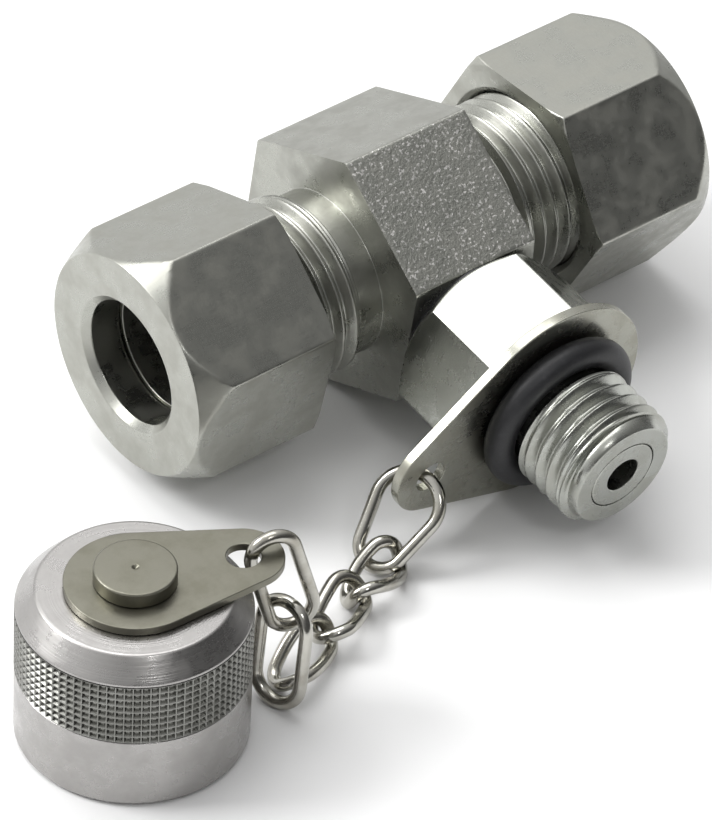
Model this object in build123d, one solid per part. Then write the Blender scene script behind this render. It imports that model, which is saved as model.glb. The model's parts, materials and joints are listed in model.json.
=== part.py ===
from build123d import *
import math
import os

os.makedirs("parts", exist_ok=True)

# ---------------------------------------------------------------- frame
# X runs along the tube run, Z is up from the surface it lies on.
# The test connection points along -Y and droops by DROOP degrees.
ORIGIN_X = 14.942         # run centre, from the middle of the whole part
ORIGIN_Y = 12.329
DROOP = 7.5

# ---------------------------------------------------------------- clearances
THREAD_GAP = 0.10         # radial, crest to plain bore of the mating thread
RUN_GAP = 0.05            # radial, parts that turn or slide on each other
SEAT_GAP = 0.02           # face to face

# ---------------------------------------------------------------- tube ends
TUBE_D = 12.0
FLOW_D = TUBE_D - 2
BODY_AF = TUBE_D * 2
RUN_HEIGHT = BODY_AF / math.sqrt(3) * math.cos(math.radians(DROOP))
BODY_HALF = 7.0
RUN_THREAD_R = TUBE_D / 2 + 2.9   # M18 x 1.5 crest
RELIEF_R = RUN_THREAD_R - 0.75
RELIEF_END = 9.6
SHANK_END = 12.0
STUB_END = 19.0
STUB_CHAMFER = 0.9
CONE_TAN = math.tan(math.radians(12.0))
CONE_MOUTH_R = TUBE_D / 2 + 1
SOCKET_R = TUBE_D / 2 + 0.05
TUBE_STOP = STUB_END - 7.0

NUT_AF = TUBE_D + 10
NUT_LEN = 15.0
NUT_OUT = 30.5            # outer face of each nut from the body's middle
NUT_IN = NUT_OUT - NUT_LEN
NUT_FACE_R = NUT_AF / 2 - 0.1         # where the outer cone meets the face
NUT_CONE = 3.1            # depth of that cone at the corners
NUT_BORE_R = RUN_THREAD_R + THREAD_GAP
NUT_SHOULDER = STUB_END + 4.9       # start of the 45 degree seat for the ring
NUT_MOUTH_R = TUBE_D / 2 + 0.15
NUT_MOUTH_FLARE = 0.7
LEFT_ROLL = -4.0
RIGHT_ROLL = -20.4

RING_TIP = 16.0
RING_R = CONE_MOUTH_R + 0.5
RING_BORE_R = SOCKET_R
RING_GAP = 0.03

# ---------------------------------------------------------------- test port
PORT_R = 5.0
PORT_SEAL_R = 7.0
PORT_SEAL_T = 1.0
STUD_R = 4.9
STUD_IN = 6.4
TEST_AF = 17.0
TEST_ROLL = 15.0
BODY_FLAT = BODY_AF / 2
HEX_IN = BODY_FLAT + PORT_SEAL_T
HEX_CHAMFER = 1.3
HEX_OUT = 23.0            # shoulder that the tether lug turns against
LUG_T = 1.0
NECK_R = 6.5
NECK_END = HEX_OUT + LUG_T + 0.1
GROOVE_R = 5.45
ORING_SECTION_R = 1.42
ORING_R = GROOVE_R + ORING_SECTION_R
GROOVE_END = NECK_END + 2 * ORING_SECTION_R
TEST_THREAD_R = 6.33      # 12.65 x 1.5 crest
TEST_END = 34.85
TEST_FACE_R = 5.3
INSERT_R = 3.6
INSERT_HOLE_R = 1.78
INSERT_IN = 29.6
SEAL_T = 1.0
CHAMBER_R = 2.9
CHAMBER_IN = 14.5
FEED_R = 1.25
BALL_R = 2.4
SEAL_HOLE_R = 1.75
VALVE_STROKE = 1.5

SPRING_WIRE_R = 0.3
SPRING_R = 2.3
SPRING_TURNS = 5

# ---------------------------------------------------------------- tether lug
LUG_R = 10.69
LUG_EAR_AT = 13.1
LUG_EAR_ANGLE = 190.5
LUG_EAR_R = 4.4
LUG_HOLE_X = -13.4
LUG_HOLE_Z = -2.6
LUG_HOLE_R = 1.6

# ---------------------------------------------------------------- cap
CAP_R = 10.5
CAP_TOP = 16.35
CAP_FLAT_R = 8.77
CAP_SHOULDER = 14.35
KNURL_LOW = 7.64
KNURL_N = 86
KNURL_DEPTH = 0.25
CAP_THREAD_R = TEST_THREAD_R + THREAD_GAP
CAP_SKIRT_R = ORING_R + ORING_SECTION_R + 0.2
CAP_SKIRT_DEEP = 4.2
CAP_THREAD_DEEP = 13.2
RIVET_R = 1.9
RIVET_HEAD_R = 3.7
RIVET_HEAD_T = 1.5
RIVET_TAIL_R = 2.6         # closed flush in the roof of the cap
RIVET_TAIL_T = 0.9
STRAP_T = 0.8
STRAP_R = 6.3
STRAP_REACH = 10.05
STRAP_END_R = 3.65
STRAP_HOLE_R = 1.55
STRAP_ANGLE = -17.4
STRAP_LOW = CAP_TOP + 0.04

# ---------------------------------------------------------------- chain
WIRE_R = 0.62
SMALL_W = 3.7
# each link: name, first end, last end, width between wire centres,
# direction of its width, twist at each end (degrees), taper
LINKS = [
    ("chain_link_1", (-13.75, -23.05, 8.05), (-20.37, -23.73, 1.19), 5.2, (-0.5, 0.85, 0), 0, 0, 0.45),
    ("chain_link_2", (-17.63, -24.26, 1.92), (-25.06, -27.0, 1.77), SMALL_W, None, -66.7, 61.3, 0),
    ("chain_link_3", (-23.68, -25.87, 2.33), (-30.53, -29.91, 2.24), SMALL_W, None, -47.2, 29.5, 0),
    ("chain_link_4", (-29.47, -28.61, 2.46), (-36.7, -31.78, 1.23), SMALL_W, None, -59.5, 36.6, 0),
    ("chain_link_5", (-38.13, -32.51, 0.66), (-36.24, -31.24, 10.55), 5.0, (0.208, -0.978, 0), 0, 0, 0),
    ("chain_link_6", (-35.28, -31.53, 7.84), (-38.19, -30.62, 18.5), 4.2, (0.954, -0.299, 0), 0, 0, 0),
]
LINK_POINTS = 16

# the cap stands where the last link holds its strap
STRAP_HELD = STRAP_REACH + 2.2
CAP_X = LINKS[-1][2][0] - STRAP_HELD * math.cos(math.radians(STRAP_ANGLE))
CAP_Y = LINKS[-1][2][1] - STRAP_HELD * math.sin(math.radians(STRAP_ANGLE))


def save(shape, name):
    """Write one piece."""
    export_step(shape, f"parts/{name}.step")


def set_down(shape):
    """Put a piece that was drawn about the run's middle where it lies."""
    return Pos(ORIGIN_X, ORIGIN_Y, RUN_HEIGHT) * (Rot(DROOP, 0, 0) * shape)


def set_out(shape):
    """Put a piece that was drawn over the surface where it lies."""
    return Pos(ORIGIN_X, ORIGIN_Y, 0) * shape


def turned_x(profile):
    """Turn a closed (distance, radius) profile about the run axis."""
    face = make_face(Polyline(*[(x, r, 0) for x, r in profile], close=True))
    return revolve(face, Axis.X)


def turned_test(profile):
    """Turn a closed (distance, radius) profile about the test axis."""
    return Rot(0, 0, -90) * turned_x(profile)


def turned_z(profile):
    """Turn a closed (height, radius) profile about the vertical."""
    return Rot(0, -90, 0) * turned_x(profile)


def hex_x(across, x0, x1, roll):
    """A hexagonal bar along X, with a corner up when roll is 0."""
    sketch = RegularPolygon(across / math.sqrt(3), 6)
    plane = Plane(origin=(x0, 0, 0), x_dir=(0, 1, 0), z_dir=(1, 0, 0))
    return extrude(plane * (Rot(0, 0, 90 - roll) * sketch), x1 - x0)


def coupling_body():
    """Hexagonal body with a threaded stub at each end and the test port."""
    half = [
        (0, BODY_AF),
        (BODY_HALF, BODY_AF),
        (BODY_HALF, RELIEF_R),
        (RELIEF_END, RELIEF_R),
        (RELIEF_END + 0.5, RUN_THREAD_R),
        (STUB_END - STUB_CHAMFER, RUN_THREAD_R),
        (STUB_END, RUN_THREAD_R - STUB_CHAMFER),
        (STUB_END, 0),
    ]
    outline = half + [(-x, r) for x, r in reversed(half)][0:-1]
    outer = turned_x(outline)
    bar = hex_x(BODY_AF, -BODY_HALF, BODY_HALF, 0)
    stub = hex_x(BODY_AF, -STUB_END, STUB_END, 0) - hex_x(BODY_AF * 2, -BODY_HALF, BODY_HALF, 0)
    outer = (outer & bar) + (outer & stub)
    cone_end = STUB_END - (CONE_MOUTH_R - SOCKET_R) / CONE_TAN
    inside = [
        (0, FLOW_D / 2),
        (TUBE_STOP, FLOW_D / 2),
        (TUBE_STOP, SOCKET_R),
        (cone_end, SOCKET_R),
        (STUB_END, CONE_MOUTH_R),
        (STUB_END + 1, CONE_MOUTH_R + CONE_TAN),
        (STUB_END + 1, 0),
    ]
    bore = turned_x(inside + [(-x, r) for x, r in reversed(inside)][0:-1])
    port = turned_test([(0, 0), (0, PORT_R), (BODY_FLAT + 1, PORT_R), (BODY_FLAT + 1, 0)])
    return outer - bore - port


def nut(roll):
    """Hexagonal union nut on the +X end."""
    bar = hex_x(NUT_AF, NUT_IN, NUT_OUT, roll)
    corner = NUT_AF / math.sqrt(3)
    shape = turned_x([
        (NUT_IN, 0),
        (NUT_IN, corner - 0.45),
        (NUT_IN + 0.3, corner + 0.1),
        (NUT_OUT - NUT_CONE, corner),
        (NUT_OUT, NUT_FACE_R),
        (NUT_OUT, 0),
    ])
    cone_run = NUT_BORE_R - NUT_MOUTH_R
    hollow = turned_x([
        (NUT_IN - 1, 0),
        (NUT_IN - 1, NUT_BORE_R + 0.6),
        (NUT_IN, NUT_BORE_R + 0.6),
        (NUT_IN + 0.6, NUT_BORE_R),
        (NUT_SHOULDER, NUT_BORE_R),
        (NUT_SHOULDER + cone_run, NUT_MOUTH_R),
        (NUT_OUT - NUT_MOUTH_FLARE, NUT_MOUTH_R),
        (NUT_OUT, NUT_MOUTH_R + NUT_MOUTH_FLARE),
        (NUT_OUT + 1, NUT_MOUTH_R + NUT_MOUTH_FLARE),
        (NUT_OUT + 1, 0),
    ])
    return (bar & shape) - hollow


def cutting_ring():
    """Cutting ring between the +X stub's cone and its nut."""
    start = STUB_END - (CONE_MOUTH_R - SOCKET_R) / CONE_TAN

    def cone_r(x):
        return SOCKET_R + (x - start) * CONE_TAN - RING_GAP

    collar = STUB_END + 0.4
    seat = NUT_SHOULDER + NUT_BORE_R - RING_R - SEAT_GAP * 3
    return turned_x([
        (RING_TIP, RING_BORE_R),
        (RING_TIP, cone_r(RING_TIP)),
        (STUB_END, cone_r(STUB_END)),
        (collar, RING_R),
        (seat, RING_R),
        (seat + 0.95, RING_R - 0.95),
        (seat + 0.95, RING_BORE_R),
    ])


def hex_test(across, s0, s1, roll):
    """A hexagonal bar along the test axis."""
    sketch = RegularPolygon(across / math.sqrt(3), 6)
    plane = Plane(origin=(0, -s0, 0), x_dir=(1, 0, 0), z_dir=(0, -1, 0))
    return extrude(plane * (Rot(0, 0, roll) * sketch), s1 - s0)


def test_body():
    """Screwed-in test connection: hexagon, neck, seal groove and thread."""
    corner = TEST_AF / math.sqrt(3)
    bar = hex_test(TEST_AF, HEX_IN, HEX_OUT, TEST_ROLL)
    shape = turned_test([
        (HEX_IN, 0),
        (HEX_IN, corner - 1.5),
        (HEX_IN + HEX_CHAMFER, corner),
        (HEX_OUT - 0.4, corner),
        (HEX_OUT, corner - 0.7),
        (HEX_OUT, 0),
    ])
    stud = turned_test([
        (STUD_IN, 0),
        (STUD_IN, STUD_R - 0.6),
        (STUD_IN + 0.6, STUD_R),
        (HEX_IN + 0.5, STUD_R),
        (HEX_IN + 0.5, 0),
    ])
    nose = turned_test([
        (HEX_OUT - 0.5, 0),
        (HEX_OUT - 0.5, NECK_R),
        (NECK_END, NECK_R),
        (NECK_END, GROOVE_R),
        (GROOVE_END, GROOVE_R),
        (GROOVE_END + 0.7, TEST_THREAD_R),
        (TEST_END - 1.5, TEST_THREAD_R),
        (TEST_END, TEST_FACE_R),
        (TEST_END, 0),
    ])
    inside = turned_test([
        (STUD_IN - 1, 0),
        (STUD_IN - 1, FEED_R),
        (CHAMBER_IN, FEED_R),
        (CHAMBER_IN, CHAMBER_R),
        (INSERT_IN - SEAL_T, CHAMBER_R),
        (INSERT_IN - SEAL_T, INSERT_R),
        (TEST_END + 1, INSERT_R),
        (TEST_END + 1, 0),
    ])
    return (bar & shape) + stud + nose - inside


def port_seal():
    """Flat seal between the body's flat and the test hexagon."""
    return turned_test([
        (BODY_FLAT, PORT_R + 0.05),
        (BODY_FLAT, PORT_SEAL_R),
        (HEX_IN, PORT_SEAL_R),
        (HEX_IN, PORT_R + 0.05),
    ])


def probe_insert():
    """Bored insert in the end face of the test connection."""
    return turned_test([
        (INSERT_IN, INSERT_HOLE_R),
        (INSERT_IN, INSERT_R),
        (TEST_END, INSERT_R),
        (TEST_END, INSERT_HOLE_R),
    ])


def valve_seat():
    """Soft seat that the ball closes on."""
    return turned_test([
        (INSERT_IN - SEAL_T, SEAL_HOLE_R),
        (INSERT_IN - SEAL_T, INSERT_R),
        (INSERT_IN, INSERT_R),
        (INSERT_IN, SEAL_HOLE_R),
    ])


def ball_at():
    """Where the closed ball's middle lies along the test axis."""
    return INSERT_IN - SEAL_T - math.sqrt(BALL_R ** 2 - SEAL_HOLE_R ** 2) - SEAT_GAP


def valve_ball():
    """Ball that closes the test connection from inside."""
    return Pos(0, -ball_at(), 0) * Sphere(BALL_R)


def valve_spring():
    """Coil spring behind the ball."""
    s0 = CHAMBER_IN + SPRING_WIRE_R + SEAT_GAP
    reach = math.sqrt((BALL_R + SPRING_WIRE_R) ** 2 - SPRING_R ** 2)
    s1 = ball_at() - reach - SEAT_GAP
    path = Helix((s1 - s0) / SPRING_TURNS, s1 - s0, SPRING_R)
    section = Plane(origin=path @ 0, z_dir=path % 0) * RegularPolygon(SPRING_WIRE_R, 6)
    coil = sweep(section, path)
    return Pos(0, -s0, 0) * (Rot(90, 0, 0) * coil)


def torus_test(s, ring_r, section_r):
    """A round-section ring about the test axis."""
    return Pos(0, -s, 0) * (Rot(90, 0, 0) * Torus(ring_r, section_r))


def ear_plate(disc_r, reach, angle, end_r, thick):
    """Flat plate: a disc drawn out to a rounded ear, lying on XY."""
    end = (reach * math.cos(math.radians(angle)), reach * math.sin(math.radians(angle)))
    side = math.degrees(math.acos((disc_r - end_r) / reach))
    corners = []
    for centre, radius, turn in (((0, 0), disc_r, side), (end, end_r, side),
                                 (end, end_r, -side), ((0, 0), disc_r, -side)):
        a = math.radians(angle + turn)
        corners.append((centre[0] + radius * math.cos(a), centre[1] + radius * math.sin(a)))
    web = make_face(Polyline(*corners, close=True))
    sketch = Circle(disc_r) + Pos(*end) * Circle(end_r) + web
    return extrude(sketch, thick)


def tether_lug():
    """Plate lug round the neck, with a hole for the chain in its ear."""
    plate = ear_plate(LUG_R, LUG_EAR_AT, LUG_EAR_ANGLE, LUG_EAR_R, LUG_T)
    plate -= Pos(0, 0, -1) * Cylinder(NECK_R + RUN_GAP, 6)
    plate -= Pos(LUG_HOLE_X, LUG_HOLE_Z, 0) * Cylinder(LUG_HOLE_R, 6)
    return Pos(0, -(HEX_OUT + 0.03), 0) * (Rot(90, 0, 0) * plate)


def cap_outline():
    """Half section of the cap's outside, as (height, radius)."""
    return [
        (0, 0),
        (0, CAP_R - 0.5),
        (0.5, CAP_R),
        (CAP_SHOULDER, CAP_R),
        (CAP_TOP - 0.1, CAP_FLAT_R + 0.15),
        (CAP_TOP, CAP_FLAT_R),
        (CAP_TOP, 0),
    ]


def cap():
    """Knurled screw cap, standing on its open end."""
    solid = turned_z(cap_outline())
    solid -= turned_z([
        (-1, 0),
        (-1, CAP_SKIRT_R),
        (CAP_SKIRT_DEEP, CAP_SKIRT_R),
        (CAP_SKIRT_DEEP + 0.8, CAP_THREAD_R),
        (CAP_THREAD_DEEP, CAP_THREAD_R),
        (CAP_THREAD_DEEP, RIVET_TAIL_R + 0.01),
        (CAP_THREAD_DEEP + RIVET_TAIL_T + 0.01, RIVET_TAIL_R + 0.01),
        (CAP_THREAD_DEEP + RIVET_TAIL_T + 0.01, RIVET_R + 0.01),
        (CAP_TOP + 1, RIVET_R + 0.01),
        (CAP_TOP + 1, 0),
    ])
    return Pos(CAP_X, CAP_Y, 0) * solid


def rivet():
    """Rivet that the strap turns on."""
    low = CAP_THREAD_DEEP
    high = STRAP_LOW + STRAP_T + 0.06
    return Pos(CAP_X, CAP_Y, 0) * turned_z([
        (low, 0),
        (low, RIVET_TAIL_R),
        (low + RIVET_TAIL_T, RIVET_TAIL_R),
        (low + RIVET_TAIL_T, RIVET_R),
        (high, RIVET_R),
        (high, RIVET_HEAD_R),
        (high + RIVET_HEAD_T - 0.1, RIVET_HEAD_R),
        (high + RIVET_HEAD_T, RIVET_HEAD_R - 0.1),
        (high + RIVET_HEAD_T, 0),
    ])


def cap_strap():
    """Flat strap from the rivet to the chain."""
    plate = ear_plate(STRAP_R, STRAP_REACH, 0, STRAP_END_R, STRAP_T)
    plate -= Cylinder(RIVET_R + RUN_GAP, 6)
    plate -= Pos(STRAP_REACH, 0, 0) * Cylinder(STRAP_HOLE_R, 6)
    return Pos(CAP_X, CAP_Y, STRAP_LOW) * (Rot(0, 0, STRAP_ANGLE) * plate)


def flat_link(first, last, width, side, taper):
    """A wire loop bent in one plane, its end bends joined by straight legs."""
    p0 = Vector(*first)
    p1 = Vector(*last)
    length = (p1 - p0).length
    along = (p1 - p0).normalized()
    across = Vector(*side)
    across = (across - along * across.dot(along)).normalized()
    r0 = width / 2 * (1 + taper * 0.375)
    r1 = width / 2 * (1 - taper * 0.375)
    slope = math.asin((r0 - r1) / (length - r0 - r1))
    rise, run = math.sin(slope), math.cos(slope)
    wide = (r0 + r0 * rise, r0 * run)
    narrow = (length - r1 + r1 * rise, r1 * run)
    plane = Plane(origin=p0, x_dir=along, z_dir=along.cross(across))
    with BuildLine(plane) as loop:
        Line(wide, narrow)
        ThreePointArc(narrow, (length, 0), (narrow[0], -narrow[1]))
        Line((narrow[0], -narrow[1]), (wide[0], -wide[1]))
        ThreePointArc((wide[0], -wide[1]), (0, 0), wide)
    wire = loop.wires()[0]
    section = Plane(origin=wire @ 0, z_dir=wire % 0) * Circle(WIRE_R)
    return sweep(section, wire)


def twisted_link(first, last, width, twist0, twist1):
    """A bent wire loop between two end points, twisted along its length."""
    p0 = Vector(*first)
    p1 = Vector(*last)
    length = (p1 - p0).length
    along = (p1 - p0).normalized()
    middle = (p0 + p1) * 0.5
    across = Vector(0, 0, 1).cross(along).normalized()
    normal = along.cross(across)
    radius = width / 2
    straight = length - width
    total = 2 * straight + 2 * math.pi * radius
    points = []
    for i in range(LINK_POINTS):
        s = total * i / LINK_POINTS
        if s < straight:
            a, b = -straight / 2 + s, radius
        elif s < straight + math.pi * radius:
            t = (s - straight) / radius
            a, b = straight / 2 + radius * math.sin(t), radius * math.cos(t)
        elif s < 2 * straight + math.pi * radius:
            a, b = straight / 2 - (s - straight - math.pi * radius), -radius
        else:
            t = (s - 2 * straight - math.pi * radius) / radius
            a, b = -straight / 2 - radius * math.sin(t), -radius * math.cos(t)
        phi = math.radians(twist0 + (twist1 - twist0) * (a + length / 2) / length)
        points.append(middle + along * a + (across * math.cos(phi) + normal * math.sin(phi)) * b)
    loop = Spline(*points, periodic=True)
    halves = []
    for path in (loop.trim(0, 0.5), loop.trim(0.5, 1)):
        section = Plane(origin=path @ 0, z_dir=path % 0) * Circle(WIRE_R)
        halves.append(sweep(section, path, is_frenet=True))
    return halves[0] + halves[1]


save(set_down(coupling_body()), "coupling_body")
for end, turn, roll in (("right", 0, RIGHT_ROLL), ("left", 180, -LEFT_ROLL)):
    save(set_down(Rot(0, 0, turn) * nut(roll)), f"{end}_nut")
    save(set_down(Rot(0, 0, turn) * cutting_ring()), f"{end}_cutting_ring")
save(set_down(test_body()), "test_body")
save(set_down(port_seal()), "port_seal")
save(set_down(probe_insert()), "probe_insert")
save(set_down(valve_seat()), "valve_seat")
save(set_down(valve_ball()), "valve_ball")
save(set_down(valve_spring()), "valve_spring")
save(set_down(torus_test(NECK_END + ORING_SECTION_R, ORING_R, ORING_SECTION_R)), "cap_seal_ring")
save(set_down(tether_lug()), "tether_lug")
for name, first, last, width, side, twist0, twist1, taper in LINKS:
    if side:
        link = flat_link(first, last, width, side, taper)
    else:
        link = twisted_link(first, last, width, twist0, twist1)
    save(set_out(link), name)
save(set_out(cap_strap()), "cap_strap")
save(set_out(rivet()), "cap_rivet")
save(set_out(cap()), "screw_cap")
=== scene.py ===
"""Looks of a hydraulic tube coupling with a test connection, lying beside its chained screw cap."""

import json
import logging
import math
from collections.abc import Sequence
from dataclasses import dataclass, field
from enum import Enum

import bmesh
import bpy
import numpy as np
from mathutils import Matrix, Vector


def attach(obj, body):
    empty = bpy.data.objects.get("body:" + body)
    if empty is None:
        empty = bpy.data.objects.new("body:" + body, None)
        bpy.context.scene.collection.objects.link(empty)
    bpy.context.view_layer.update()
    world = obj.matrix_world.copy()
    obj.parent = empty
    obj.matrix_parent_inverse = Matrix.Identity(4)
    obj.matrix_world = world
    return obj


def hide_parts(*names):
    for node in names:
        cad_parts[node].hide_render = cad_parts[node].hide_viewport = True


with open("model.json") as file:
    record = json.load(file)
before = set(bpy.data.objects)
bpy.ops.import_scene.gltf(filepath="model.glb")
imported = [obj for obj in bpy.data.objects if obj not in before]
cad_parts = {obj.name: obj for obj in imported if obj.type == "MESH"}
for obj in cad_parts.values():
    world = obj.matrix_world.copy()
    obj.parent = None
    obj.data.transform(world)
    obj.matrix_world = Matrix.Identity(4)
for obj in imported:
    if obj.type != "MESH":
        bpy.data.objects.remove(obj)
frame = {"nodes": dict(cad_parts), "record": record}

logging.basicConfig(level=logging.INFO, format="%(message)s")
log = logging.getLogger("scene")

MM = 0.001
RUN_ORIGIN = (14.942, 12.329, 13.7379)
DROOP = math.radians(7.5)
CAP_AXIS = (-34.942, -14.631)
FLAT_FROM_AXIS = 11.86  # just under the body's flats
FLAT_HALF = 7.2
METAL_RELIEF = 0.00006
RUBBER_RELIEF = 0.00004


class Axis(Enum):
    """The three axes that pieces are turned about."""

    RUN = "run"
    TEST = "test"
    CAP = "cap"


@dataclass(frozen=True)
class Place:
    """A turning axis: distances run along it and angles start at its side direction."""

    origin: tuple[float, float, float]
    along: tuple[float, float, float]
    side: tuple[float, float, float]

    def grid(self, s: np.ndarray, r: np.ndarray, theta: np.ndarray) -> np.ndarray:
        """Points in metres for distance, radius and angle arrays of one shape."""
        a, u = np.array(self.along), np.array(self.side)
        v = np.cross(a, u)
        turn = np.cos(theta)[..., None] * u + np.sin(theta)[..., None] * v
        return (np.array(self.origin) + s[..., None] * a + r[..., None] * turn) * MM


COS, SIN = math.cos(DROOP), math.sin(DROOP)
PLACES = {
    Axis.RUN: Place(RUN_ORIGIN, (1, 0, 0), (0, COS, SIN)),
    Axis.TEST: Place(RUN_ORIGIN, (0, -COS, -SIN), (1, 0, 0)),
    Axis.CAP: Place((*CAP_AXIS, 0), (0, 0, 1), (1, 0, 0)),
}


# ------------------------------------------------------------------ shader nodes
class Value:
    """A shader socket that takes part in arithmetic."""

    def __init__(self, tree: "Tree", socket: bpy.types.NodeSocket) -> None:
        self.tree, self.socket = tree, socket

    def _maths(self, operation: str, *others: "Value | float") -> "Value":
        inputs = {0: self, **dict(enumerate(others, 1))}
        return self.tree.node("ShaderNodeMath", {"operation": operation}, inputs)

    def __add__(self, other: "Value | float") -> "Value":
        return self._maths("ADD", other)

    __radd__ = __add__

    def __mul__(self, other: "Value | float") -> "Value":
        return self._maths("MULTIPLY", other)

    __rmul__ = __mul__

    def __sub__(self, other: "Value | float") -> "Value":
        return self._maths("SUBTRACT", other)

    def __rsub__(self, other: float) -> "Value":
        return (self * -1.0) + other

    def ramp(self, low: float, high: float, to_low: float = 0.0, to_high: float = 1.0) -> "Value":
        """Smoothly maps low..high onto to_low..to_high and holds it beyond."""
        return self.tree.node(
            "ShaderNodeMapRange",
            {"interpolation_type": "SMOOTHSTEP"},
            {0: self, 1: low, 2: high, 3: to_low, 4: to_high},
        )


class Tree:
    """A material's or world's nodes, all added through one method."""

    def __init__(self, owner: bpy.types.Material | bpy.types.World) -> None:
        self.owner = owner
        owner.use_nodes = True
        self.nodes = owner.node_tree.nodes
        self.links = owner.node_tree.links
        self.nodes.clear()

    @classmethod
    def paint(cls, name: str) -> "Tree":
        """A tree in a new material."""
        return cls(bpy.data.materials.new(name))

    def node(
        self, kind: str, settings: dict | None = None, inputs: dict | None = None, output: int | str = 0
    ) -> Value:
        """Adds a node.

        Args:
            kind: the node's type name.
            settings: its properties.
            inputs: socket name or index to a constant or a Value.
            output: the socket that the result stands for.

        Returns:
            The chosen output.
        """
        made = self.nodes.new(kind)
        for key, value in (settings or {}).items():
            setattr(made, key, value)
        for key, value in (inputs or {}).items():
            if isinstance(value, Value):
                self.links.new(value.socket, made.inputs[key])
            else:
                made.inputs[key].default_value = value
        return Value(self, made.outputs[output])

    def millimetres(self) -> Value:
        """Object coordinates in millimetres."""
        place = self.node("ShaderNodeTexCoord", output="Object")
        return self.node("ShaderNodeVectorMath", {"operation": "SCALE"}, {0: place, "Scale": 1000.0})

    def stretch(self, vector: Value, scale: tuple[float, float, float]) -> Value:
        """A vector scaled along each axis."""
        return self.node("ShaderNodeVectorMath", {"operation": "MULTIPLY"}, {0: vector, 1: scale})

    def reach(self, vector: Value, way: Sequence[float]) -> Value:
        """How far a vector reaches along a direction."""
        return self.node("ShaderNodeVectorMath", {"operation": "DOT_PRODUCT"}, {0: vector, 1: way}, "Value")

    def noise(self, vector: Value, scale: float, detail: float = 3.0, rough: float = 0.55) -> Value:
        """Fractal noise, 0 to 1."""
        inputs = {"Vector": vector, "Scale": scale, "Detail": detail, "Roughness": rough}
        return self.node("ShaderNodeTexNoise", {}, inputs, "Fac")

    def lathe(self, axis: Axis) -> Value:
        """(radius, distance, 0) in millimetres about a turning axis."""
        place = PLACES[axis]
        offset = self.node(
            "ShaderNodeVectorMath", {"operation": "SUBTRACT"}, {0: self.millimetres(), 1: place.origin}
        )
        along = self.reach(offset, place.along)
        across = self.node(
            "ShaderNodeVectorMath", {"operation": "CROSS_PRODUCT"}, {0: offset, 1: place.along}
        )
        radius = self.node("ShaderNodeVectorMath", {"operation": "LENGTH"}, {0: across}, "Value")
        return self.node("ShaderNodeCombineXYZ", {}, {0: radius, 1: along})

    def mix(self, factor: Value, first: Sequence[float] | Value, second: Sequence[float] | Value) -> Value:
        """Blend of two colours."""
        made = self.nodes.new("ShaderNodeMix")
        made.data_type = "RGBA"
        self.links.new(factor.socket, made.inputs[0])
        for slot, colour in ((6, first), (7, second)):
            if isinstance(colour, Value):
                self.links.new(colour.socket, made.inputs[slot])
            else:
                made.inputs[slot].default_value = (*colour, 1.0)
        return Value(self, made.outputs[2])

    def close(self, inputs: dict) -> bpy.types.Material:
        """Ends the tree in a Principled shader with these inputs."""
        shader = self.node("ShaderNodeBsdfPrincipled", {}, inputs, "BSDF")
        output = self.nodes.new("ShaderNodeOutputMaterial")
        self.links.new(shader.socket, output.inputs["Surface"])
        return self.owner


@dataclass(frozen=True)
class Metal:
    """A plated steel finish: turning rings about an axis, grain along the bar, and stains."""

    name: str
    light: tuple[float, float, float]
    dark: tuple[float, float, float]
    rough: tuple[float, float] = (0.26, 0.42)
    axis: Axis | None = None
    rings: float = 0.25
    ring_scale: float = 5.0
    grain: float = 0.12
    grain_scale: tuple[float, float, float] = (0.5, 3.0, 3.0)
    painted_glints: float = 0.0

    def build(self) -> bpy.types.Material:
        """The finish as a material."""
        t = Tree.paint(self.name)
        mm = t.millimetres()
        stain = t.noise(mm, 0.35, 4.0, 0.6)
        grain = t.noise(t.stretch(mm, self.grain_scale), 1.6, 5.0, 0.65)
        fine = t.noise(mm, 9.0, 2.0, 0.5)
        height = grain * self.grain + fine * 0.10
        wear = stain.ramp(0.35, 0.68)
        rough = wear * (self.rough[1] - self.rough[0]) + self.rough[0] + (grain - 0.5) * 0.12
        if self.axis:
            lathe = t.lathe(self.axis)
            rings = t.noise(lathe, self.ring_scale, 3.0, 0.7)
            height = height + rings * self.rings
            rough = rough + (rings - 0.5) * 0.10
        colour = t.mix(wear, self.light, self.dark)
        # painted highlight: near-white glint spots are painted on the body's upper front flat; the bump and
        # roughness added there are relief
        if self.painted_glints:
            face = self._flat(t, mm)
            spots = t.noise(mm, 3.0, 1.5, 0.5).ramp(0.585, 0.66)
            colour = t.mix(spots * face * self.painted_glints, colour, (0.98, 0.96, 0.93))
            height = height + t.noise(mm, 2.6, 3.0, 0.7) * face * 2.2
            rough = rough + face * 0.08 - spots * face * 0.06
        bump = t.node("ShaderNodeBump", {}, {"Height": height, "Distance": METAL_RELIEF, "Strength": 0.6})
        return t.close({"Base Color": colour, "Metallic": 1.0, "Roughness": rough, "Normal": bump})

    @staticmethod
    def _flat(t: Tree, mm: Value) -> Value:
        """One on the body's upper front flat, nought elsewhere: that flat gets a rougher bump and painted
        near-white glints.
        """
        way = (0.0, -math.cos(math.pi / 3 - DROOP), math.sin(math.pi / 3 - DROOP))
        far, along = t.reach(mm, way), t.reach(mm, (1.0, 0.0, 0.0))
        inside = FLAT_HALF - t.node("ShaderNodeMath", {"operation": "ABSOLUTE"}, {0: along - RUN_ORIGIN[0]})
        edge = FLAT_FROM_AXIS + RUN_ORIGIN[1] * way[1] + RUN_ORIGIN[2] * way[2]
        return (far - edge).ramp(0.0, 0.1) * inside.ramp(0.0, 0.5)


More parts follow.
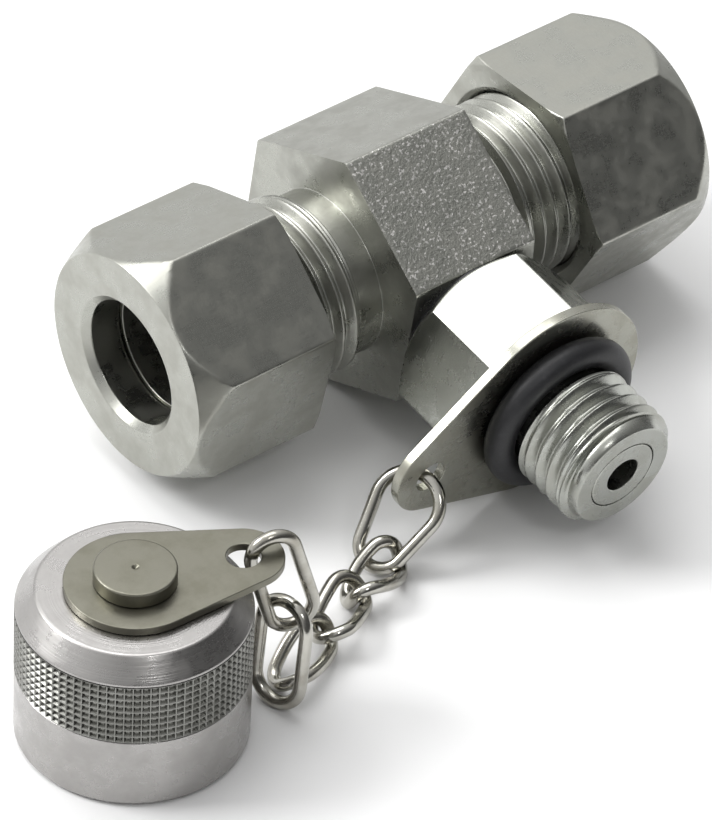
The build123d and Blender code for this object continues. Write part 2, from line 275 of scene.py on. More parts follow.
@dataclass(frozen=True)
class Rubber:
    """Matte moulded rubber with a soft sheen."""

    name: str
    colour: tuple[float, float, float] = (0.012, 0.012, 0.014)

    def build(self) -> bpy.types.Material:
        """The finish as a material."""
        t = Tree.paint(self.name)
        mm = t.millimetres()
        dust = t.noise(mm, 1.2, 4.0, 0.6).ramp(0.5, 0.8)
        fine = t.noise(mm, 7.0, 3.0, 0.6)
        colour = t.mix(dust * 0.35, self.colour, (0.05, 0.05, 0.055))
        bump = t.node("ShaderNodeBump", {}, {"Height": fine, "Distance": RUBBER_RELIEF, "Strength": 0.5})
        return t.close({"Base Color": colour, "Roughness": fine * 0.15 + 0.38, "Normal": bump})


FINISHES = {
    "body": Metal("zinc_body", (0.40, 0.405, 0.37), (0.355, 0.355, 0.325), axis=Axis.RUN, rings=0.2,
                  painted_glints=0.9),
    "nut": Metal("zinc_nut", (0.41, 0.415, 0.38), (0.37, 0.37, 0.335), axis=Axis.RUN, rings=0.25),
    "test": Metal("zinc_test", (0.44, 0.45, 0.42), (0.38, 0.385, 0.35), (0.2, 0.34), axis=Axis.TEST,
                  rings=0.25),
    "lug": Metal("zinc_sheet", (0.40, 0.40, 0.35), (0.34, 0.335, 0.285), (0.22, 0.34)),
    "chain": Metal("nickel_wire", (0.50, 0.49, 0.45), (0.38, 0.365, 0.32), (0.14, 0.26), grain=0.06),
    "cap": Metal("zinc_cap", (0.41, 0.40, 0.39), (0.37, 0.36, 0.35), (0.24, 0.38), axis=Axis.CAP, rings=0.7,
                 ring_scale=3.2),
    # knurl: the cap's zinc painted darker, as painted shade for the knurl's pits
    "knurl": Metal("knurled_zinc", (0.25, 0.25, 0.235), (0.2, 0.2, 0.185), (0.2, 0.32)),
    "strap": Metal("yellow_zinc", (0.205, 0.20, 0.165), (0.18, 0.175, 0.14), (0.3, 0.46), grain=0.2),
    "spring": Metal("spring_wire", (0.55, 0.55, 0.55), (0.4, 0.4, 0.4)),
    "rubber": Rubber("seal_rubber"),
    "seat": Rubber("valve_seat", (0.5, 0.48, 0.42)),
}


class Paints:
    """The finishes, each built once when it's first asked for."""

    def __init__(self) -> None:
        self._made: dict[str, bpy.types.Material] = {}

    def __getitem__(self, key: str) -> bpy.types.Material:
        if key not in self._made:
            self._made[key] = FINISHES[key].build()
        return self._made[key]


# ------------------------------------------------------------------ turned shapes
@dataclass(frozen=True)
class Corner:
    """A corner of a half section; step and thread hold for the run to the next corner."""

    s: float
    r: float
    step: float = 3.0
    thread: bool = False
    round: float = 0.1


@dataclass(frozen=True)
class Hexagon:
    """Spanner flats that cut a turned shape."""

    across: float
    roll: float
    sharp: float = 150.0
    blend: float = 0.12

    def radius(self, theta: np.ndarray) -> np.ndarray:
        """Distance to the rounded hexagon at each angle."""
        total = np.zeros_like(theta)
        for k in range(6):
            total += np.maximum(np.cos(theta - math.radians(60 * k + 30 + self.roll)), 0.0) ** self.sharp
        return self.across / 2 / total ** (1 / self.sharp)

    def cut(self, r: np.ndarray, theta: np.ndarray) -> np.ndarray:
        """The smaller of a radius and the hexagon's, softened where they meet."""
        other = self.radius(theta)
        mix = np.clip(0.5 + 0.5 * (other - r) / self.blend, 0, 1)
        return other * (1 - mix) + r * mix - self.blend * mix * (1 - mix)


@dataclass(frozen=True)
class Thread:
    """A right-hand thread cut below the crest radius."""

    pitch: float = 1.5
    depth: float = 0.85

    def drop(self, s: np.ndarray, theta: np.ndarray) -> np.ndarray:
        """How far the surface lies below the crest."""
        phase = np.mod(s / self.pitch - theta / (2 * math.pi), 1.0)
        wave = np.abs(2 * phase - 1)
        return self.depth * np.clip(1.18 * wave - 0.09, 0, 1)


@dataclass
class Turned:
    """A closed half section turned about an axis."""

    name: str
    axis: Axis
    corners: list[Corner]
    hexagon: Hexagon | None = None
    thread: Thread | None = None
    flip: bool = False
    around: int = 216

    def _rows(self) -> tuple[np.ndarray, np.ndarray, np.ndarray]:
        """Distance, radius and thread share of each row of points."""
        count = len(self.corners)
        rows: list[tuple[float, float, float]] = []
        points = [np.array((c.s, c.r), float) for c in self.corners]
        for i, corner in enumerate(self.corners):
            before, here, after = points[i - 1], points[i], points[(i + 1) % count]
            length_in, length_out = np.linalg.norm(here - before), np.linalg.norm(after - here)
            d = min(corner.round, 0.4 * length_in, 0.4 * length_out)
            start = here + (before - here) / length_in * d
            end = here + (after - here) / length_out * d
            share = 1.0 if corner.thread and self.corners[i - 1].thread else 0.0
            for t in (0.0, 0.25, 0.5, 0.75, 1.0):
                p = (1 - t) ** 2 * start + 2 * t * (1 - t) * here + t * t * end
                rows.append((p[0], p[1], share))
            nxt = self.corners[(i + 1) % count]
            gap = length_out - d - min(nxt.round, 0.4 * length_out)
            pieces = max(1, math.ceil(gap / corner.step))
            finish = end + (after - here) / length_out * gap
            for k in range(1, pieces):
                p = end + (finish - end) * k / pieces
                edge = min(k / pieces, 1 - k / pieces) * gap
                rows.append((p[0], p[1], min(1.0, edge / 0.5) if corner.thread else 0.0))
        data = np.array(rows)
        return data[:, 0], data[:, 1], data[:, 2]

    def _angles(self) -> np.ndarray:
        """Angles round the axis, closer together at the hexagon's corners."""
        angles = list(np.linspace(0, 2 * math.pi, self.around, endpoint=False))
        if self.hexagon:
            for k in range(6):
                middle = math.radians(60 * k + self.hexagon.roll)
                angles += [middle + math.radians(a) for a in np.linspace(-2.4, 2.4, 13)]
        return np.unique(np.round(np.mod(angles, 2 * math.pi), 6))

    def build(self, paint: bpy.types.Material, body: str, node: str | None = None) -> bpy.types.Object:
        """Makes the mesh, paints it and puts it on its body."""
        s, r, share = self._rows()
        theta = self._angles()
        sg, tg = np.meshgrid(s, theta, indexing="ij")
        rg = np.repeat(r[:, None], len(theta), axis=1)
        if self.thread:
            rg = rg - self.thread.drop(sg, -tg if self.flip else tg) * share[:, None]
        if self.hexagon:
            rg = self.hexagon.cut(rg, tg)
        points = PLACES[self.axis].grid(-sg if self.flip else sg, rg, tg)
        return solid_grid(self.name, points, paint, body, node)


def solid_grid(
    name: str, points: np.ndarray, paint: bpy.types.Material, body: str, node: str | None
) -> bpy.types.Object:
    """A mesh from a grid of points that closes both ways."""
    rows, columns = points.shape[:2]
    index = np.arange(rows * columns).reshape(rows, columns)
    right, down = np.roll(index, -1, axis=1), np.roll(index, -1, axis=0)
    both = np.roll(down, -1, axis=1)
    faces = np.stack([index, right, both, down], axis=-1).reshape(-1, 4)
    mesh = bpy.data.meshes.new(name)
    mesh.from_pydata(points.reshape(-1, 3).tolist(), [], faces.tolist())
    return finish_mesh(name, mesh, paint, body, node)


def finish_mesh(
    name: str, mesh: bpy.types.Mesh, paint: bpy.types.Material, body: str, node: str | None
) -> bpy.types.Object:
    """Cleans a mesh, shades it with area-weighted normals, paints it and puts it on its body.

    Args:
        name: the piece's name.
        mesh: its mesh, in metres in the shared frame.
        paint: its material.
        body: the body that it rides on.
        node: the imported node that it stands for, if any.

    Returns:
        The new object.
    """
    work = bmesh.new()
    work.from_mesh(mesh)
    bmesh.ops.remove_doubles(work, verts=work.verts, dist=2e-7)
    bmesh.ops.recalc_face_normals(work, faces=work.faces)
    work.to_mesh(mesh)
    work.free()
    mesh.polygons.foreach_set("use_smooth", [True] * len(mesh.polygons))
    count = len(mesh.vertices)
    normals = np.zeros((count, 3))
    areas, face_normals = np.zeros(len(mesh.polygons)), np.zeros(len(mesh.polygons) * 3)
    mesh.polygons.foreach_get("area", areas)
    mesh.polygons.foreach_get("normal", face_normals)
    face_normals = face_normals.reshape(-1, 3) * areas[:, None]
    loop_vertex = np.zeros(len(mesh.loops), dtype=int)
    mesh.loops.foreach_get("vertex_index", loop_vertex)
    totals = np.zeros(len(mesh.polygons), dtype=int)
    mesh.polygons.foreach_get("loop_total", totals)
    np.add.at(normals, loop_vertex, np.repeat(face_normals, totals, axis=0))
    length = np.linalg.norm(normals, axis=1, keepdims=True)
    normals = normals / np.maximum(length, 1e-20)
    mesh.normals_split_custom_set_from_vertices(normals.tolist())
    mesh.materials.clear()
    mesh.materials.append(paint)
    piece = bpy.data.objects.new(name, mesh)
    bpy.context.scene.collection.objects.link(piece)
    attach(piece, body)
    if node:
        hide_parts(node)
        record = frame["record"]
        slots = {s["node"]: s["material_slot"] for s in record["subparts"]}
        slots[node]
    return piece


# ------------------------------------------------------------------ flat plates
@dataclass
class Plate:
    """A sheet-metal disc drawn out to a rounded ear, with round holes."""

    name: str
    disc: float
    reach: float
    angle: float
    ear: float
    thick: float
    holes: list[tuple[float, float, float]] = field(default_factory=list)
    edge: float = 0.09

    def _outline(self) -> list[tuple[float, float]]:
        """Points round the outside, less the rounded edge."""
        disc, ear = self.disc - self.edge, self.ear - self.edge
        side = math.acos((disc - ear) / self.reach)
        base = math.radians(self.angle)
        centre = (self.reach * math.cos(base), self.reach * math.sin(base))
        points = []
        for k in range(33):
            a = base - side + 2 * side * k / 32
            points.append((centre[0] + ear * math.cos(a), centre[1] + ear * math.sin(a)))
        for k in range(121):
            a = base + side + (2 * math.pi - 2 * side) * k / 120
            points.append((disc * math.cos(a), disc * math.sin(a)))
        return points

    def build(self, matrix: Matrix, paint: bpy.types.Material, body: str, node: str) -> bpy.types.Object:
        """Fills the outline, gives it thickness and rounded edges, and puts it in place."""
        curve = bpy.data.curves.new(self.name, "CURVE")
        curve.dimensions = "2D"
        curve.fill_mode = "BOTH"
        curve.extrude = self.thick / 2 - self.edge
        curve.bevel_depth = self.edge
        curve.bevel_resolution = 2
        rings = [self._outline()]
        for x, y, r in self.holes:
            around = [2 * math.pi * k / 72 for k in range(72)]
            wide = r + self.edge
            rings.append([(x + wide * math.cos(a), y + wide * math.sin(a)) for a in around])
        for ring in rings:
            spline = curve.splines.new("POLY")
            spline.points.add(len(ring) - 1)
            for point, (x, y) in zip(spline.points, ring):
                point.co = (x, y, 0, 1)
            spline.use_cyclic_u = True
        source = bpy.data.objects.new(self.name + "_outline", curve)
        mesh = bpy.data.meshes.new_from_object(source)
        bpy.data.objects.remove(source)
        mesh.transform(Matrix.Scale(MM, 4) @ matrix)
        return finish_mesh(self.name, mesh, paint, body, node)


# ------------------------------------------------------------------ geometry nodes
class Graph:
    """A geometry node group with named inputs, all its nodes added through one method."""

    def __init__(self, name: str, inputs: dict[str, tuple[str, float]]) -> None:
        self.group = bpy.data.node_groups.new(name, "GeometryNodeTree")
        face = self.group.interface
        face.new_socket("Geometry", in_out="INPUT", socket_type="NodeSocketGeometry")
        face.new_socket("Geometry", in_out="OUTPUT", socket_type="NodeSocketGeometry")
        self.identifiers = {}
        for label, (kind, value) in inputs.items():
            made = face.new_socket(label, in_out="INPUT", socket_type=kind)
            if value is not None:
                made.default_value = value
            self.identifiers[label] = made.identifier
        self.start = self.group.nodes.new("NodeGroupInput")
        self.end = self.group.nodes.new("NodeGroupOutput")

    def node(self, kind: str, settings: dict | None = None, inputs: dict | None = None) -> bpy.types.Node:
        """Adds a node with these settings and inputs (constants or sockets)."""
        made = self.group.nodes.new(kind)
        for key, value in (settings or {}).items():
            setattr(made, key, value)
        for key, value in (inputs or {}).items():
            if isinstance(value, bpy.types.NodeSocket):
                self.group.links.new(value, made.inputs[key])
            else:
                made.inputs[key].default_value = value
        return made

    def source(self, label: str) -> bpy.types.NodeSocket:
        """One of the group's inputs."""
        return self.start.outputs[label]

    def finish(self, geometry: bpy.types.NodeSocket) -> None:
        """Ends in Realize Instances and Set Material."""
        real = self.node("GeometryNodeRealizeInstances", {}, {"Geometry": geometry})
        paint = {"Geometry": real.outputs[0], "Material": self.source("Finish")}
        painted = self.node("GeometryNodeSetMaterial", {}, paint)
        self.group.links.new(painted.outputs[0], self.end.inputs[0])

    def run(self, mesh: bpy.types.Mesh, values: dict) -> bpy.types.Mesh:
        """The mesh that the group makes from another."""
        carrier = bpy.data.objects.new("carrier", mesh)
        bpy.context.scene.collection.objects.link(carrier)
        modifier = carrier.modifiers.new("graph", "NODES")
        modifier.node_group = self.group
        for label, value in values.items():
            modifier[self.identifiers[label]] = value
        depsgraph = bpy.context.evaluated_depsgraph_get()
        result = bpy.data.meshes.new_from_object(carrier.evaluated_get(depsgraph), depsgraph=depsgraph)
        carrier.modifiers.remove(modifier)
        bpy.data.objects.remove(carrier)
        return result


class WireGraph(Graph):
    """Round wire along a closed run of edges."""

    def __init__(self) -> None:
        super().__init__("wire", {
            "Radius": ("NodeSocketFloat", 0.0006),
            "Finish": ("NodeSocketMaterial", None),
        })
        path = self.node("GeometryNodeMeshToCurve", {}, {"Mesh": self.source("Geometry")})
        circle = {"Resolution": 24, "Radius": self.source("Radius")}
        ring = self.node("GeometryNodeCurvePrimitiveCircle", {}, circle)
        sweep = {"Curve": path.outputs[0], "Profile Curve": ring.outputs[0]}
        wire = self.node("GeometryNodeCurveToMesh", {}, sweep)
        self.finish(wire.outputs[0])


class KnurlGraph(Graph):
    """One pit repeated round and up a cylinder."""

    def __init__(self) -> None:
        super().__init__("knurl", {
            "Around": ("NodeSocketInt", 86),
            "Up": ("NodeSocketInt", 9),
            "Radius": ("NodeSocketFloat", 0.0105),
            "Low": ("NodeSocketFloat", 0.0),
            "High": ("NodeSocketFloat", 0.007),
            "Finish": ("NodeSocketMaterial", None),
        })
        grid = self.node("GeometryNodeMeshGrid", {}, {
            "Size X": 1.0, "Size Y": 1.0,
            "Vertices X": self.source("Around"), "Vertices Y": self.source("Up"),
        })
        index = self.node("GeometryNodeInputIndex")
        column = self._maths("FLOOR", self._maths("DIVIDE", index.outputs[0], self.source("Up")))
        row = self._maths("SUBTRACT", index.outputs[0], self._maths("MULTIPLY", column, self.source("Up")))
        turned = self._maths("MULTIPLY", column, 2 * math.pi)
        angle = self._maths("DIVIDE", turned, self.source("Around"))
        rise = self._maths("DIVIDE", self._maths("ADD", row, 0.5), self.source("Up"))
        span = self._maths("SUBTRACT", self.source("High"), self.source("Low"))
        z = self._maths("ADD", self.source("Low"), self._maths("MULTIPLY", rise, span))
        x = self._maths("MULTIPLY", self._maths("COSINE", angle), self.source("Radius"))
        y = self._maths("MULTIPLY", self._maths("SINE", angle), self.source("Radius"))
        place = self.node("ShaderNodeCombineXYZ", {}, {0: x, 1: y, 2: z})
        turn = self.node("ShaderNodeCombineXYZ", {}, {2: angle})
        spread = {"Geometry": grid.outputs[0], "Position": place.outputs[0]}
        spots = self.node("GeometryNodeSetPosition", {}, spread)
        pits = self.node("GeometryNodeInstanceOnPoints", {}, {
            "Points": spots.outputs[0], "Instance": self.source("Geometry"), "Rotation": turn.outputs[0],
        })
        self.finish(pits.outputs[0])

    def _maths(self, operation: str, *values: float | bpy.types.NodeSocket) -> bpy.types.NodeSocket:
        made = self.node("ShaderNodeMath", {"operation": operation}, dict(enumerate(values)))
        return made.outputs[0]


# ------------------------------------------------------------------ the object
@dataclass
class Run:
    """The hexagonal body with its threaded stubs, union nuts and cutting rings."""

    body_across: float = 24.0
    body_half: float = 7.0
    nut_across: float = 22.0
    rolls: tuple[float, float] = (-4.0, -20.4)
    thread_r: float = 8.9
    socket_r: float = 6.05

    def build(self, paints: Paints) -> None:
        """Makes the five pieces."""
        self._body(paints["body"])
        for side, flip, roll in (("left", True, self.rolls[0]), ("right", False, self.rolls[1])):
            self._nut(side, flip, roll, paints["nut"])
            self._ring(side, flip, paints["nut"])

    def _body(self, paint: bpy.types.Material) -> None:
        h, t = self.body_half, self.thread_r
        half = [
            Corner(h, 18.0), Corner(h, 8.15), Corner(9.6, 8.15), Corner(10.1, t, 0.1, True, 0.02),
            Corner(18.1, t, 1, True, 0.05), Corner(19.0, 8.0), Corner(19.0, 7.0),
            Corner(14.53, self.socket_r), Corner(12.0, self.socket_r), Corner(12.0, 5.0),
        ]
        mirror = [
            Corner(-12.0, 5.0), Corner(-12.0, self.socket_r), Corner(-14.53, self.socket_r),
            Corner(-19.0, 7.0), Corner(-19.0, 8.0), Corner(-18.1, t, 0.1, True, 0.05),
            Corner(-10.1, t, 1, True, 0.02),
            Corner(-9.6, 8.15), Corner(-h, 8.15), Corner(-h, 18.0),
        ]
        flats = Hexagon(self.body_across, 90.0)
        shape = Turned("coupling_body_shell", Axis.RUN, half + mirror, flats, Thread())
        shape.build(paint, "base", "coupling_body")

    def _nut(self, side: str, flip: bool, roll: float, paint: bpy.types.Material) -> None:
        corners = [
            Corner(15.5, 9.6), Corner(15.5, 11.9, 0.15), Corner(15.9, 12.9, 2.0), Corner(27.3, 12.75, 0.12),
            Corner(30.5, 10.95), Corner(30.5, 6.85), Corner(29.8, 6.15), Corner(26.75, 6.15),
            Corner(23.9, 9.0), Corner(16.1, 9.0),
        ]
        # angles run the same way for both ends, so the left nut's roll keeps its sign
        flats = Hexagon(self.nut_across, 90.0 - roll)
        shape = Turned(f"{side}_nut_shell", Axis.RUN, corners, flats, flip=flip)
        shape.build(paint, f"{side}_nut", f"{side}_nut")

    def _ring(self, side: str, flip: bool, paint: bpy.types.Material) -> None:
        corners = [
            Corner(16.0, 6.05), Corner(16.0, 6.33), Corner(19.0, 6.97), Corner(19.4, 7.5),
            Corner(25.34, 7.5), Corner(26.29, 6.55), Corner(26.29, 6.05),
        ]
        Turned(f"{side}_cutting_ring_shell", Axis.RUN, corners, flip=flip).build(
            paint, f"{side}_ring", f"{side}_cutting_ring")


@dataclass
class TestConnection:
    """The screwed-in test connection with its insert, seal ring and tether lug."""

    across: float = 17.0
    roll: float = 15.0
    shoulder: float = 23.0
    thread_r: float = 6.33
    end: float = 34.85
    ring_r: float = 6.87
    ring_section: float = 1.42
    lug_gap: float = 0.03
    lug_thick: float = 1.0

    def build(self, paints: Paints) -> None:
        """Makes the visible pieces and paints the hidden ones."""
        self._body(paints["test"])
        insert = [
            Corner(29.7, 1.78), Corner(29.7, 3.54), Corner(self.end, 3.54, round=0.16),
            Corner(self.end, 1.78),
        ]
        Turned("probe_insert_shell", Axis.TEST, insert).build(paints["test"], "base", "probe_insert")
        self._seal_ring(paints["rubber"])
        self._lug(paints["lug"])
        for node, paint in (("port_seal", "rubber"), ("valve_seat", "seat"), ("valve_ball", "spring"),
                            ("valve_spring", "spring")):
            target = frame["nodes"][node]
            target.data.materials.clear()
            target.data.materials.append(paints[paint])

    def _body(self, paint: bpy.types.Material) -> None:
        neck = self.shoulder + 1.1
        groove = neck + 2 * self.ring_section
        corners = [
            Corner(6.4, 1.25), Corner(6.4, 4.3), Corner(7.0, 4.9), Corner(13.0, 4.9),
            Corner(13.0, 8.3, 0.12),
            Corner(14.3, 9.9, 2.0), Corner(self.shoulder - 0.4, 9.9, 0.1), Corner(self.shoulder, 9.1),
            Corner(self.shoulder, 6.5), Corner(neck, 6.5), Corner(neck, 5.45), Corner(groove, 5.45),
            Corner(groove + 0.7, self.thread_r, 0.08, True, 0.02),
            Corner(self.end - 1.2, self.thread_r, 1, True, 0.1),
            Corner(self.end, 5.3), Corner(self.end, 3.62), Corner(28.7, 3.62), Corner(28.7, 2.9),
            Corner(14.5, 2.9), Corner(14.5, 1.25),
        ]
        flats = Hexagon(self.across, self.roll)
        shape = Turned("test_body_shell", Axis.TEST, corners, flats, Thread(1.5, 0.8))
        shape.build(paint, "base", "test_body")

    def _seal_ring(self, paint: bpy.types.Material) -> None:
        middle = self.shoulder + 1.1 + self.ring_section
        around = np.linspace(0, 2 * math.pi, 180, endpoint=False)
        section = np.linspace(0, 2 * math.pi, 40, endpoint=False)
        sg, tg = np.meshgrid(section, around, indexing="ij")
        points = PLACES[Axis.TEST].grid(
            middle + self.ring_section * np.sin(sg), self.ring_r + self.ring_section * np.cos(sg), tg)
        solid_grid("cap_seal_ring_moulded", points, paint, "base", "cap_seal_ring")

    def _lug(self, paint: bpy.types.Material) -> None:
        plate = Plate("tether_lug_plate", 10.69, 13.1, 190.5, 4.4, self.lug_thick,
                      [(0, 0, 6.55), (-13.4, -2.6, 1.6)])
        middle = self.shoulder + self.lug_gap + self.lug_thick / 2
        run = Matrix.Translation(RUN_ORIGIN) @ Matrix.Rotation(DROOP, 4, "X")
        stand = Matrix.Translation((0, -middle, 0)) @ Matrix.Rotation(math.pi / 2, 4, "X")
        plate.build(run @ stand, paint, "lug", "tether_lug")


@dataclass(frozen=True)
class Link:
    """One bent wire link between two end points, in millimetres."""

    name: str
    first: tuple[float, float, float]
    last: tuple[float, float, float]
    width: float
    side: tuple[float, float, float] | None
    twist: tuple[float, float] = (0.0, 0.0)
    taper: float = 0.0

    def flat(self) -> list[Vector]:
        """Centre line of a link bent in one plane: two bends joined by straight legs."""
        p0, p1 = Vector(self.first), Vector(self.last)
        length = (p1 - p0).length
        along = (p1 - p0).normalized()
        across = Vector(self.side)
        across = (across - along * across.dot(along)).normalized()
        r0 = self.width / 2 * (1 + self.taper * 0.375)
        r1 = self.width / 2 * (1 - self.taper * 0.375)
        slope = math.asin((r0 - r1) / (length - r0 - r1))
        points = []
        quarter = math.pi / 2
        far_bend = (length - r1, r1, quarter - slope, 2 * slope - math.pi)
        near_bend = (r0, r0, slope - quarter, -math.pi - 2 * slope)
        for centre, radius, start, sweep in (far_bend, near_bend):
            for k in range(25):
                a = start + sweep * k / 24
                reach = centre + radius * math.cos(a)
                points.append(p0 + along * reach + across * (radius * math.sin(a)))
        return points

    def twisted(self, count: int = 72) -> list[Vector]:
        """Centre line of a link twisted along its length."""
        p0, p1 = Vector(self.first), Vector(self.last)
        length = (p1 - p0).length
        along = (p1 - p0).normalized()
        across = Vector((0, 0, 1)).cross(along).normalized()
        normal = along.cross(across)
        middle, radius = (p0 + p1) / 2, self.width / 2
        straight = length - self.width
        total = 2 * straight + 2 * math.pi * radius
        points = []
        for i in range(count):
            s = total * i / count
            half = s % (total / 2)
            sign = 1 if s < total / 2 else -1
            if half < straight:
                a, b = -straight / 2 + half, radius
            else:
                t = (half - straight) / radius
                a, b = straight / 2 + radius * math.sin(t), radius * math.cos(t)
            a, b = a * sign, b * sign
            phi = math.radians(self.twist[0] + (self.twist[1] - self.twist[0]) * (a + length / 2) / length)
            points.append(middle + along * a + (across * math.cos(phi) + normal * math.sin(phi)) * b)
        return points


CHAIN = [
    Link("chain_link_1", (-13.75, -23.05, 8.05), (-20.37, -23.73, 1.19), 5.2, (-0.5, 0.85, 0), taper=0.45),
    Link("chain_link_2", (-17.63, -24.26, 1.92), (-25.06, -27.0, 1.77), 3.7, None, (-66.7, 61.3)),
    Link("chain_link_3", (-23.68, -25.87, 2.33), (-30.53, -29.91, 2.24), 3.7, None, (-47.2, 29.5)),
    Link("chain_link_4", (-29.47, -28.61, 2.46), (-36.7, -31.78, 1.23), 3.7, None, (-59.5, 36.6)),
    Link("chain_link_5", (-38.13, -32.51, 0.66), (-36.24, -31.24, 10.55), 5.0, (0.208, -0.978, 0)),
    Link("chain_link_6", (-35.28, -31.53, 7.84), (-38.19, -30.62, 18.5), 4.2, (0.954, -0.299, 0)),
]


@dataclass
class Chain:
    """The wire links between lug and strap."""

    wire_r: float = 0.62
    links: list[Link] = field(default_factory=lambda: list(CHAIN))

    def build(self, paints: Paints) -> None:
        """Makes each link from its centre line."""
        graph = WireGraph()
        shift = Vector((RUN_ORIGIN[0], RUN_ORIGIN[1], 0))
        for number, link in enumerate(self.links, 1):
            centre = link.flat() if link.side else link.twisted()
            points = [tuple((p + shift) * MM) for p in centre]
            path = bpy.data.meshes.new(link.name + "_path")
            edges = [(i, (i + 1) % len(points)) for i in range(len(points))]
            path.from_pydata(points, edges, [])
            mesh = graph.run(path, {"Radius": self.wire_r * MM, "Finish": paints["chain"]})
            finish_mesh(link.name + "_wire", mesh, paints["chain"], f"link_{number}", link.name)


@dataclass
class Cap:
    """The knurled screw cap with its strap and rivet."""

    radius: float = 10.5
    top: float = 16.35
    flat_r: float = 8.77
    shoulder: float = 14.35
    knurl_low: float = 7.64
    knurl_around: int = 86
    knurl_up: int = 9
    knurl_depth: float = 0.28
    strap_low: float = 16.39
    strap_thick: float = 0.8
    strap_reach: float = 10.05
    strap_angle: float = -17.4

    def build(self, paints: Paints) -> None:
        """Makes the cap's four pieces."""
        self._shell(paints["cap"])
        self._knurl(paints["knurl"])
        self._strap(paints["strap"])
        self._rivet(paints["strap"])

    def _shell(self, paint: bpy.types.Material) -> None:
        r = self.radius
        low = r - self.knurl_depth - 0.05
        corners = [
            Corner(0.0, 8.49), Corner(0.0, r - 0.35, round=0.2), Corner(0.5, r),
            Corner(self.knurl_low - 0.12, r, round=0.06),
            Corner(self.knurl_low, low, round=0.03), Corner(self.shoulder - 0.35, low, round=0.03),
            Corner(self.shoulder - 0.25, r - 0.02, round=0.08), Corner(self.shoulder, r, 0.3, round=0.15),
            Corner(self.top, self.flat_r, round=0.22), Corner(self.top, 1.91, 1.0), Corner(13.2, 1.91),
            Corner(13.2, 6.43), Corner(5.0, 6.43), Corner(4.2, 8.49),
        ]
        Turned("screw_cap_shell", Axis.CAP, corners).build(paint, "cap", "screw_cap")

    def _knurl(self, paint: bpy.types.Material) -> None:
        high = self.shoulder - 0.3
        half_w = self.radius * math.tan(math.pi / self.knurl_around)
        half_h = (high - self.knurl_low) / self.knurl_up / 2
        rings = []
        for depth, share in ((0.0, 1.0), (0.0, 0.86), (self.knurl_depth, 0.42)):
            corners = ((-1, -1), (1, -1), (1, 1), (-1, 1))
            rings.append([(-depth, y * half_w * share, z * half_h * share) for y, z in corners])
        vertices = [tuple(c * MM for c in p) for ring in rings for p in ring]
        faces = [(8, 9, 10, 11)]
        for k in (0, 4):
            faces += [(k + i, k + (i + 1) % 4, k + 4 + (i + 1) % 4, k + 4 + i) for i in range(4)]
        pit = bpy.data.meshes.new("pit")
        pit.from_pydata(vertices, [], faces)
        mesh = KnurlGraph().run(pit, {
            "Around": self.knurl_around, "Up": self.knurl_up, "Radius": self.radius * MM,
            "Low": self.knurl_low * MM, "High": high * MM, "Finish": paint,
        })
        mesh.transform(Matrix.Translation((CAP_AXIS[0] * MM, CAP_AXIS[1] * MM, 0)))
        piece = bpy.data.objects.new("screw_cap_knurl", mesh)
        bpy.context.scene.collection.objects.link(piece)
        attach(piece, "cap")

    def _strap(self, paint: bpy.types.Material) -> None:
        plate = Plate("cap_strap_plate", 6.3, self.strap_reach, 0.0, 3.65, self.strap_thick,
                      [(0, 0, 1.95), (self.strap_reach, 0, 1.55)])
        lift = Matrix.Translation((*CAP_AXIS, self.strap_low + self.strap_thick / 2))
        turn = Matrix.Rotation(math.radians(self.strap_angle), 4, "Z")
        plate.build(lift @ turn, paint, "strap", "cap_strap")

    def _rivet(self, paint: bpy.types.Material) -> None:
        high = self.strap_low + self.strap_thick + 0.06
        head = high + 1.5
        corners = [
            Corner(12.3, 0.004, round=0.001), Corner(12.3, 2.6), Corner(13.2, 2.6), Corner(13.2, 1.9),
            Corner(high, 1.9), Corner(high, 3.7), Corner(head, 3.7, round=0.2),
            Corner(head, 0.35, round=0.05), Corner(head - 0.25, 0.004, round=0.001),
        ]
        Turned("cap_rivet_head", Axis.CAP, corners, around=96).build(paint, "cap", "cap_rivet")


# ------------------------------------------------------------------ studio
@dataclass(frozen=True)
class Lamp:
    """A soft square lamp aimed at the object."""

    name: str
    place: tuple[float, float, float]
    size: float
    power: float

    def build(self) -> None:
        """Adds the lamp."""
        data = bpy.data.lights.new(self.name, "AREA")
        data.shape = "SQUARE"
        data.size = self.size
        data.energy = self.power
        lamp = bpy.data.objects.new(self.name, data)
        lamp.location = self.place
        lamp.rotation_euler = (-Vector(self.place)).to_track_quat("-Z", "Y").to_euler()
        bpy.context.scene.collection.objects.link(lamp)


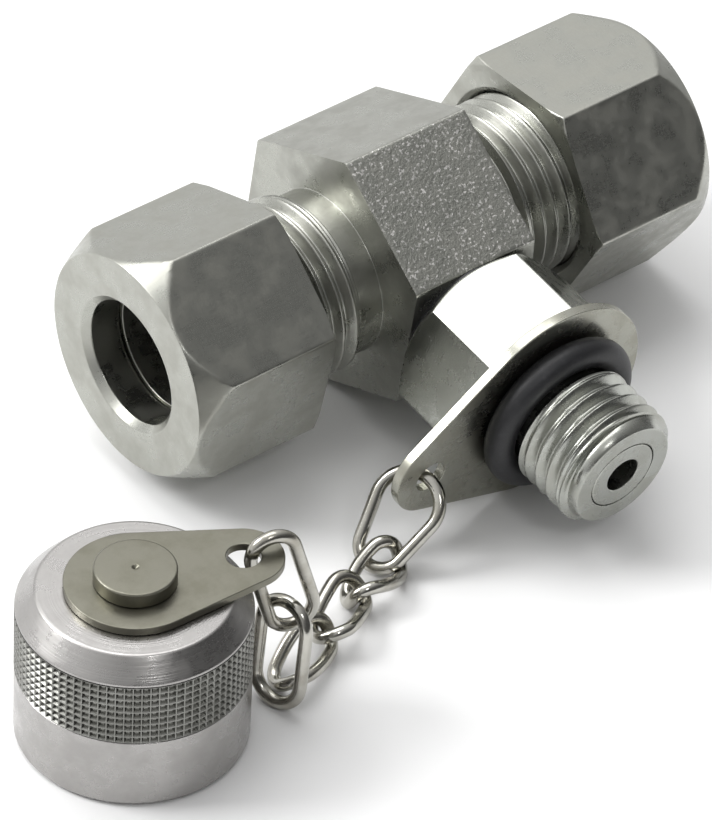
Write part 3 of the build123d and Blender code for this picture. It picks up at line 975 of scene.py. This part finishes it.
@dataclass
class Studio:
    """Floor, lamps, world and camera."""

    floor: tuple[float, float, float] = (0.86, 0.86, 0.86)
    world: tuple[float, float] = (0.10, 0.95)
    bright_side: tuple[float, float, float] = (-0.28, 0.78, 0.56)
    lamps: tuple[Lamp, ...] = (
        Lamp("key", (-0.42, 0.38, 0.50), 0.30, 3.6),
        Lamp("over", (0.05, 0.30, 0.80), 0.60, 3.0),
        Lamp("spark", (-0.16, -0.50, 0.62), 0.10, 0.5),
    )
    eye: tuple[float, float, float] = (-290.952, -342.415, 389.135)
    right: tuple[float, float, float] = (0.78077456, -0.62356998, 0.03938981)
    down: tuple[float, float, float] = (-0.37975675, -0.52366704, -0.76259927)
    ahead: tuple[float, float, float] = (0.49616116, 0.58045956, -0.64567081)
    focal: float = 6422.757 / 712 * 36

    def build(self) -> None:
        """Sets the whole studio up."""
        scene = bpy.context.scene
        scene.view_settings.view_transform = "Standard"
        self._floor()
        for lamp in self.lamps:
            lamp.build()
        scene.world = self._world()
        self._camera()

    def _world(self) -> bpy.types.World:
        """A soft surround, bright behind the object and dim in front of it."""
        t = Tree(bpy.data.worlds.new("studio"))
        way = t.node("ShaderNodeTexCoord", output="Generated")
        glow = t.reach(way, self.bright_side).ramp(-0.5, 0.75, *self.world)
        seen = t.node("ShaderNodeLightPath", output="Is Camera Ray")
        strength = glow * (1.0 - seen) + seen
        light = t.node("ShaderNodeBackground", {}, {"Strength": strength})
        light.socket.node.inputs["Color"].default_value = (1, 1, 1, 1)
        output = t.nodes.new("ShaderNodeOutputWorld")
        t.links.new(light.socket, output.inputs["Surface"])
        return t.owner

    def _floor(self) -> None:
        t = Tree.paint("pale_floor")
        tone = t.noise(t.millimetres(), 0.01, 2.0)
        colour = t.mix(tone, self.floor, tuple(c * 0.99 for c in self.floor))
        paint = t.close({"Base Color": colour, "Roughness": 0.9, "Specular IOR Level": 0.1})
        mesh = bpy.data.meshes.new("floor")
        r = 3.0
        mesh.from_pydata([(-r, -r, 0), (r, -r, 0), (r, r, 0), (-r, r, 0)], [], [(0, 1, 2, 3)])
        mesh.materials.append(paint)
        floor = bpy.data.objects.new("floor", mesh)
        bpy.context.scene.collection.objects.link(floor)

    def _camera(self) -> None:
        data = bpy.data.cameras.new("camera")
        data.sensor_fit = "HORIZONTAL"
        data.sensor_width = 36.0
        data.lens = self.focal
        data.clip_start, data.clip_end = 0.01, 20.0
        camera = bpy.data.objects.new("camera", data)
        columns = (Vector(self.right), -Vector(self.down), -Vector(self.ahead))
        matrix = Matrix([[c[i] for c in columns] for i in range(3)]).to_4x4()
        matrix.translation = Vector(self.eye) * MM
        camera.matrix_world = matrix
        bpy.context.scene.collection.objects.link(camera)
        bpy.context.scene.camera = camera


def main() -> None:
    """Builds every piece in order."""
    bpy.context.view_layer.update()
    paints = Paints()
    for part in (Run(), TestConnection(), Chain(), Cap()):
        part.build(paints)
        log.info("built %s", type(part).__name__)
    Studio().build()


if __name__ == "__main__":
    main()
